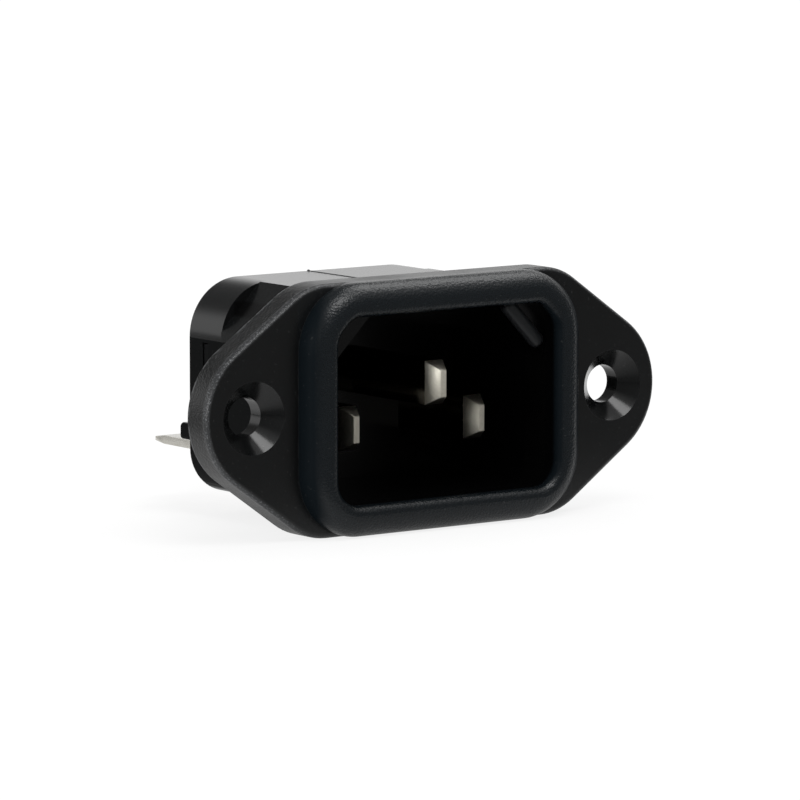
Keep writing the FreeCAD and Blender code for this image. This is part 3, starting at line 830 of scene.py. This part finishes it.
@dataclass
class Blade:
    """One solid contact blade with a pointed end, a shoulder and a riveted tenon.

    Args:
        name: Which contact it is.
        finish: Material of its drawn faces.
        tip_finish: Material of its coined end.
        end_finish: Material of the sheared face at its very end.
        taper: Length of the pointed end.
        tip: Width and height of the flat end face.
        shoulder_margin: How far the shoulder stands out all round.
        shoulder_thickness: Its thickness.
        tenon_radius: Radius of the tenon.
        tenon_length: Its length through the terminal.
        head_radius: Radius of the rivet's head.
        head_height: Its height.
        head_round: Its rounding.
        edge: Rounding of the edges.
    """

    name: str
    finish: Material
    tip_finish: Material
    end_finish: Material
    taper: float = 1.5 * MM
    tip: Pair = (0.62 * MM, 2.4 * MM)
    shoulder_margin: float = 0.5 * MM
    shoulder_thickness: float = 0.8 * MM
    tenon_radius: float = 0.9 * MM
    tenon_length: float = 0.8 * MM
    head_radius: float = 1.5 * MM
    head_height: float = 0.5 * MM
    head_round: float = 0.3 * MM
    edge: float = 0.05 * MM

    def build(self) -> None:
        """Model the blade in place of its plain solid."""
        node = f"{self.name}_blade"
        low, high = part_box(node)
        head_base = high.y - self.head_height
        shoulder_rear = head_base - self.tenon_length
        shoulder_front = shoulder_rear - self.shoulder_thickness
        margin = Vector((self.shoulder_margin, 0.0, self.shoulder_margin))
        shank_low = Vector((low.x, low.y + self.taper, low.z)) + margin
        shank_high = Vector((high.x, shoulder_front, high.z)) - margin
        width = shank_high.x - shank_low.x
        height = shank_high.z - shank_low.z
        piece = Bench.block(f"{node}_dressed", shank_low, shank_high)
        Bench.grow(piece, Face.FRONT, self.taper,
                   (self.tip[0] / width, 1.0, self.tip[1] / height))
        Bench.grow(piece, Face.REAR, 0.0,
                   ((high.x - low.x) / width, 1.0, (high.z - low.z) / height))
        Bench.grow(piece, Face.REAR, self.shoulder_thickness)
        Bench.soften(piece, self.edge)
        tenon_end, head_foot, rear = (
            Vector(((low.x + high.x) / 2, depth, (low.z + high.z) / 2))
            for depth in (shoulder_rear - self.edge, head_base, high.y))
        tenon = Bench.rod("tenon", tenon_end, rear, self.tenon_radius)
        Bench.combine(piece, tenon, "UNION")
        head = Bench.rod("head", head_foot, rear, self.head_radius)
        Bench.soften(head, self.head_round, 4)
        Bench.combine(piece, head, "UNION")
        bpy.ops.object.shade_smooth_by_angle(angle=SMOOTH_ANGLE)
        dress(piece, self.finish)
        for finish in (self.tip_finish, self.end_finish):
            piece.data.materials.append(finish)
        starts = (low.y + self.taper, low.y + self.edge / 2)
        for polygon in piece.data.polygons:
            polygon.material_index = sum(polygon.center.y < start for start in starts)
        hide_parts(node)
        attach(piece, "root")
        log.info("%s modelled", piece.name)


@dataclass
class Terminal:
    """One bent sheet terminal: a plate riveted to its blade and a quick-connect tab.

    Args:
        name: Which contact it belongs to.
        finish: Its material.
        sheet: Thickness of the sheet.
        bend: Inner radius of the bend.
        bend_steps: Steps round the bend.
        bevel: Length of the bevel at the tab's end.
        tip: Thickness of the bevelled end.
        rivet_radius: Radius of the hole for the tenon.
        latch_radius: Radius of the latching hole.
        latch_setback: Its centre before the tab's end.
        edge: Rounding of the sheared edges.
    """

    name: str
    finish: Material
    sheet: float = 0.8 * MM
    bend: float = 0.4 * MM
    bend_steps: int = 10
    bevel: float = 1.4 * MM
    tip: float = 0.4 * MM
    rivet_radius: float = 0.9 * MM
    latch_radius: float = 0.9 * MM
    latch_setback: float = 4.1 * MM
    edge: float = 0.06 * MM

    def build(self) -> None:
        """Model the terminal in place of its plain solid."""
        node = f"{self.name}_terminal"
        low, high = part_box(node)
        blade_low, blade_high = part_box(f"{self.name}_blade")
        rivet_z = (blade_low.z + blade_high.z) / 2
        hangs = abs(rivet_z - high.z) < abs(rivet_z - low.z)
        side = Face.BELOW if hangs else Face.ABOVE
        sign = side.value[2]
        corner = self.sheet + self.bend
        edge_z = low.z + corner if hangs else high.z - corner
        bottom, top = (edge_z, high.z) if hangs else (low.z, edge_z)
        piece = Bench.block(f"{node}_dressed", Vector((low.x, low.y, bottom)),
                            Vector((high.x, low.y + self.sheet, top)))
        Bench.pick_end(piece, side)
        bpy.ops.mesh.spin(steps=self.bend_steps, angle=math.radians(90.0),
                          center=Vector((0.0, low.y + corner, edge_z)), axis=(sign, 0.0, 0.0))
        bpy.ops.mesh.select_all(action="SELECT")
        bpy.ops.mesh.normals_make_consistent(inside=False)
        Bench.leave()
        Bench.grow(piece, Face.REAR, high.y - self.bevel - (low.y + corner))
        Bench.grow(piece, Face.REAR, self.bevel, (1.0, 1.0, self.tip / self.sheet))
        self.pierce(piece, low, high, rivet_z, sign)
        Bench.soften(piece, self.edge)
        Bench.apply(piece, "WEIGHTED_NORMAL", keep_sharp=True, weight=100)
        dress(piece, self.finish)
        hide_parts(node)
        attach(piece, "root")
        log.info("%s modelled", piece.name)

    def pierce(self, piece: Object, low: Vector, high: Vector, rivet_z: float,
               sign: float) -> None:
        """Cut the rivet's hole and the latching hole.

        Args:
            piece: The terminal.
            low: Its lowest corner.
            high: Its highest corner.
            rivet_z: Height of the rivet.
            sign: -1 where the tab lies below, +1 where it lies above.
        """
        rivet_low, rivet_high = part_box(f"{self.name}_blade")
        rivet_x = (rivet_low.x + rivet_high.x) / 2
        tab_z = (low.z if sign < 0 else high.z) - sign * self.sheet / 2
        middle = (low.x + high.x) / 2
        latch_y = high.y - self.latch_setback
        for start, end, radius in (
                ((rivet_x, low.y - self.sheet, rivet_z),
                 (rivet_x, low.y + 2 * self.sheet, rivet_z), self.rivet_radius),
                ((middle, latch_y, tab_z - self.sheet), (middle, latch_y, tab_z + self.sheet),
                 self.latch_radius)):
            hole = Bench.rod("hole", Vector(start), Vector(end), radius)
            Bench.combine(piece, hole, "DIFFERENCE")


@dataclass
class PartingSeam:
    """The witness line of the mould's side slides on the rear body, with a raised end.

    Args:
        finish: Its material.
        across: Where it runs, along X.
        width: Width of the line.
        rise: How far it stands proud.
        sunk: How far it reaches into the moulding.
        top: Height of the collar's top.
        front: Where it starts, along Y.
        rear: Where it ends, along Y.
        end_length: Length of the raised end.
        end_rise: How far it stands proud.
        end_taper: Size of its top against its foot.
        edge: Rounding of the edges.
    """

    finish: Material
    across: float = -0.6 * MM
    width: float = 0.14 * MM
    rise: float = 0.05 * MM
    sunk: float = 0.10 * MM
    top: float = 10.2 * MM
    front: float = 0.3 * MM
    rear: float = 16.1 * MM
    end_length: float = 0.35 * MM
    end_rise: float = 0.12 * MM
    end_taper: float = 0.5
    edge: float = 0.03 * MM

    def build(self) -> None:
        """Model the line along the top of the neck and the collar."""
        low = Vector((self.across - self.width / 2, self.front, self.top - self.sunk))
        high = Vector((self.across + self.width / 2, self.rear - self.end_length,
                       self.top + self.rise))
        piece = Bench.block("parting_seam", low, high)
        Bench.grow(piece, Face.REAR, self.end_length)
        raised = self.rear - 1.25 * self.end_length
        Bench.pick_faces(piece, lambda polygon: Bench.facing(Face.ABOVE)(polygon) and
                         polygon.center.y > raised)
        lift = Vector((0.0, 0.0, self.end_rise - self.rise))
        bpy.ops.mesh.extrude_region_move(TRANSFORM_OT_translate={"value": lift})
        bpy.ops.transform.resize(value=(self.end_taper, self.end_taper, 1.0))
        Bench.leave()
        Bench.soften(piece, self.edge, 3)
        dress(piece, self.finish)
        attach(piece, "root")
        log.info("%s modelled", piece.name)


@dataclass
class LedgeLip:
    """The rounded lip along the edge of the ledge behind one of the mouth's cut corners.

    Args:
        name: Which side it is on.
        finish: Its material.
        radius: Radius of the lip.
        depth: Where its axis lies, along Y.
        top: Distance from the middle plane and height of its upper end.
        bottom: The same for its lower end.
        end_round: Rounding of its free end.
    """

    name: str
    finish: Material
    radius: float = 0.74 * MM
    depth: float = -2.60 * MM
    top: Pair = (7.95 * MM, 8.40 * MM)
    bottom: Pair = (11.80 * MM, 4.35 * MM)
    end_round: float = 0.52 * MM

    def build(self) -> None:
        """Model the lip."""
        start, end = (Vector((across, self.depth, height))
                      for across, height in (self.top, self.bottom))
        piece = Bench.rod(f"ledge_lip_{self.name}", start, end, self.radius, 32)
        Bench.soften(piece, self.end_round, 5)
        dress(piece, self.finish)
        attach(piece, "root")
        log.info("%s modelled", piece.name)


# --- Studio ---

@dataclass(frozen=True)
class Lamp:
    """One square soft box aimed at the object.

    Args:
        name: The lamp's name.
        where: Its place.
        width: Its width.
        power: Its power in watts.
    """

    name: str
    where: Triple
    width: float
    power: float

    def hang(self) -> None:
        """Add the lamp to the scene."""
        data = bpy.data.lights.new(self.name, "AREA")
        data.shape = "SQUARE"
        data.size = self.width
        data.energy = self.power
        lamp = bpy.data.objects.new(self.name, data)
        bpy.context.scene.collection.objects.link(lamp)
        lamp.location = self.where
        lamp.rotation_mode = "QUATERNION"
        lamp.rotation_quaternion = (-Vector(self.where)).to_track_quat("-Z", "Y")


@dataclass(frozen=True)
class Studio:
    """White floor, soft lamps and the camera.

    Args:
        azimuth: The camera's angle round the object, in degrees.
        elevation: The camera's height angle, in degrees.
        distance: The camera's distance.
        lens: Its focal length, in millimetres.
        aim: How far right of the origin and above it the camera aims.
        clip: Nearest and farthest distance that it sees.
        floor_size: Width of the floor.
        floor_colour: Colour of the floor.
        floor_glow: The floor's own level, where it shows as white.
        front_fade: Start and end along Y of the mirrored floor's rise, and its first level.
        left_fade: The same along X.
        under_middle: Middle of the shade under the object.
        under_fade: The same, by the distance from there.
        shadow_fade: The same for what hides the floor's shadow.
        front_rise: Start and end height, first and last level of the mirrored room in front.
        back_rise: The same for the room behind.
        turn: Depths where the front of the room ends and the back starts.
        diffuse_level: Level of the room for soft light.
        lamps: The lamps.
    """

    azimuth: float = -36.378
    elevation: float = 7.307
    distance: float = 540.0 * MM
    lens: float = 270.0
    aim: Pair = (-1.535 * MM, -0.168 * MM)
    clip: Pair = (0.05, 20.0)
    floor_size: float = 4.0
    floor_colour: Colour = (0.90, 0.90, 0.90, 1.0)
    floor_glow: float = 1.05
    front_fade: Triple = (-26.0 * MM, 2.0 * MM, 0.14)
    left_fade: Triple = (-75.0 * MM, -22.0 * MM, 0.20)
    under_middle: Triple = (0.0, 6.0 * MM, 0.0)
    under_fade: Triple = (12.0 * MM, 40.0 * MM, 0.45)
    shadow_fade: Triple = (50.0 * MM, 200.0 * MM, 0.78)
    front_rise: Numbers = (0.42, 0.80, 0.14, 0.60)
    back_rise: Numbers = (0.28, 0.5, 1.0, 0.15)
    turn: Pair = (-0.1, 0.35)
    diffuse_level: float = 0.6
    lamps: Tuple[Lamp, ...] = (Lamp("key", (-0.04, -0.36, 0.82), 0.40, 2.2),
                               Lamp("overhead", (0.50, 0.16, 0.72), 0.50, 1.8),
                               Lamp("side", (-0.90, -0.17, 0.20), 0.36, 2.7))

    def build(self) -> None:
        """Set up everything round the object."""
        self.place_camera()
        self.lay_floor()
        self.light_world()
        for lamp in self.lamps:
            lamp.hang()
        log.info("studio ready")

    def place_camera(self) -> None:
        """Put the camera at its angle and make it the scene's."""
        turn = math.radians(self.azimuth)
        tilt = math.radians(self.elevation)
        back = Vector((math.sin(turn) * math.cos(tilt), -math.cos(turn) * math.cos(tilt),
                       math.sin(tilt)))
        right = Vector((math.cos(turn), math.sin(turn), 0.0))
        data = bpy.data.cameras.new("studio_camera")
        data.lens = self.lens
        data.clip_start, data.clip_end = self.clip
        camera = bpy.data.objects.new("studio_camera", data)
        bpy.context.scene.collection.objects.link(camera)
        camera.location = (right * self.aim[0] + back.cross(right) * self.aim[1] +
                           back * self.distance)
        camera.rotation_mode = "QUATERNION"
        camera.rotation_quaternion = (-back).to_track_quat("-Z", "Y")
        bpy.context.scene.camera = camera

    def lay_floor(self) -> None:
        """Lay a white floor under the object that shows as white and keeps a soft shadow."""
        floor = Bench.new("floor", bpy.ops.mesh.primitive_plane_add, size=self.floor_size,
                          location=(0.0, 0.0, CAD_BOX[0].z))
        material = bpy.data.materials.new("white_floor")
        material.use_nodes = True
        sheet = NodeSheet(material.node_tree)
        path = sheet.add("ShaderNodeLightPath").outputs
        place = sheet.place()
        x, y, _ = sheet.split(place)
        near = sheet.distance(place, self.under_middle)
        graded = sheet.product(sheet.ramp(y, *self.front_fade), sheet.ramp(x, *self.left_fade),
                               sheet.ramp(near, *self.under_fade))
        mirrored = path["Is Glossy Ray"]
        level = sheet.blend(self.floor_glow, graded, mirrored)
        share = sheet.ramp(sheet.distance(place, (0.0, 0.0, 0.0)), *self.shadow_fade)
        seen = sheet.greatest(sheet.product(path["Is Camera Ray"], share), mirrored,
                              path["Is Transmission Ray"])
        diffuse = sheet.add("ShaderNodeBsdfDiffuse", {"Color": self.floor_colour})
        glow = sheet.add("ShaderNodeEmission", {"Strength": level})
        sheet.close("ShaderNodeOutputMaterial", seen, diffuse.outputs[0], glow.outputs[0])
        dress(floor, material)

    def light_world(self) -> None:
        """Show white to the camera, and to all else a room that is brightest at the back."""
        world = bpy.data.worlds.new("studio_world")
        bpy.context.scene.world = world
        world.use_nodes = True
        sheet = NodeSheet(world.node_tree)
        path = sheet.add("ShaderNodeLightPath").outputs
        _, depth, rise = sheet.split(sheet.add("ShaderNodeTexCoord").outputs["Generated"])
        level = sheet.blend(sheet.ramp(rise, *self.front_rise),
                            sheet.ramp(rise, *self.back_rise), sheet.ramp(depth, *self.turn))
        level = sheet.blend(level, self.diffuse_level, path["Is Diffuse Ray"])
        room, plain = (sheet.add("ShaderNodeBackground", {"Color": WHITE, "Strength": strength})
                       for strength in (level, 1.0))
        seen = sheet.greatest(path["Is Camera Ray"], path["Is Transmission Ray"])
        sheet.close("ShaderNodeOutputWorld", seen, room.outputs[0], plain.outputs[0])


# --- Assembly ---


def main() -> None:
    """Dress the mouldings, model the metal pieces and set up the studio."""
    logging.basicConfig(level=logging.INFO, format="%(name)s: %(message)s")
    bpy.context.scene.view_settings.view_transform = "Standard"
    Bench.clear()
    effects = Effects()
    black, cover, lit_lip_black, shaded_blade_metal, lit_tip_metal, lit_end_metal, sheet_metal = (
        finish.build(effects) for finish in (
            MouldedBlack("moulded_black"),
            MouldedBlack("moulded_cover", colour=(0.0064, 0.0067, 0.0070, 1.0)),
            # Painted light: a lighter copy of the black moulding, so the ledge lip shows as lit.
            MouldedBlack("moulded_lip_lit", colour=(0.010, 0.011, 0.012, 1.0), rim_half=0.0,
                         recess_half=(0.0, 0.0), front_highlight_end=0.0),
            # Painted shade and light: the blade's drawn faces get a darkened copy of the plating
            # for the shade in the recess, its coined tip and sheared end lighter copies.
            PlatedMetal("plated_blade_shaded", colour=(0.23, 0.22, 0.20, 1.0),
                        stain=(0.15, 0.145, 0.13, 1.0), roughness=(0.10, 0.15),
                        relief=0.003 * MM),
            PlatedMetal("coined_tip_lit", colour=(0.88, 0.845, 0.73, 1.0),
                        stain=(0.66, 0.63, 0.53, 1.0), roughness=(0.29, 0.38),
                        streak=(1.0, 1.0, 1.0), mark_size=0.12 * MM, relief=0.05 * MM),
            PlatedMetal("sheared_end_lit", colour=(0.93, 0.90, 0.82, 1.0),
                        stain=(0.74, 0.71, 0.62, 1.0), roughness=(0.70, 0.95),
                        streak=(1.0, 1.0, 1.0), mark_size=0.10 * MM, relief=0.06 * MM),
            PlatedMetal("plated_sheet", colour=(0.56, 0.545, 0.50, 1.0))))
    Moulding(black, cover).build()
    for name in ("line", "neutral", "earth"):
        Blade(name, shaded_blade_metal, lit_tip_metal, lit_end_metal).build()
        Terminal(name, sheet_metal).build()
    PartingSeam(black).build()
    LedgeLip("neutral_side", lit_lip_black).build()
    Studio().build()


if __name__ == "__main__":
    main()
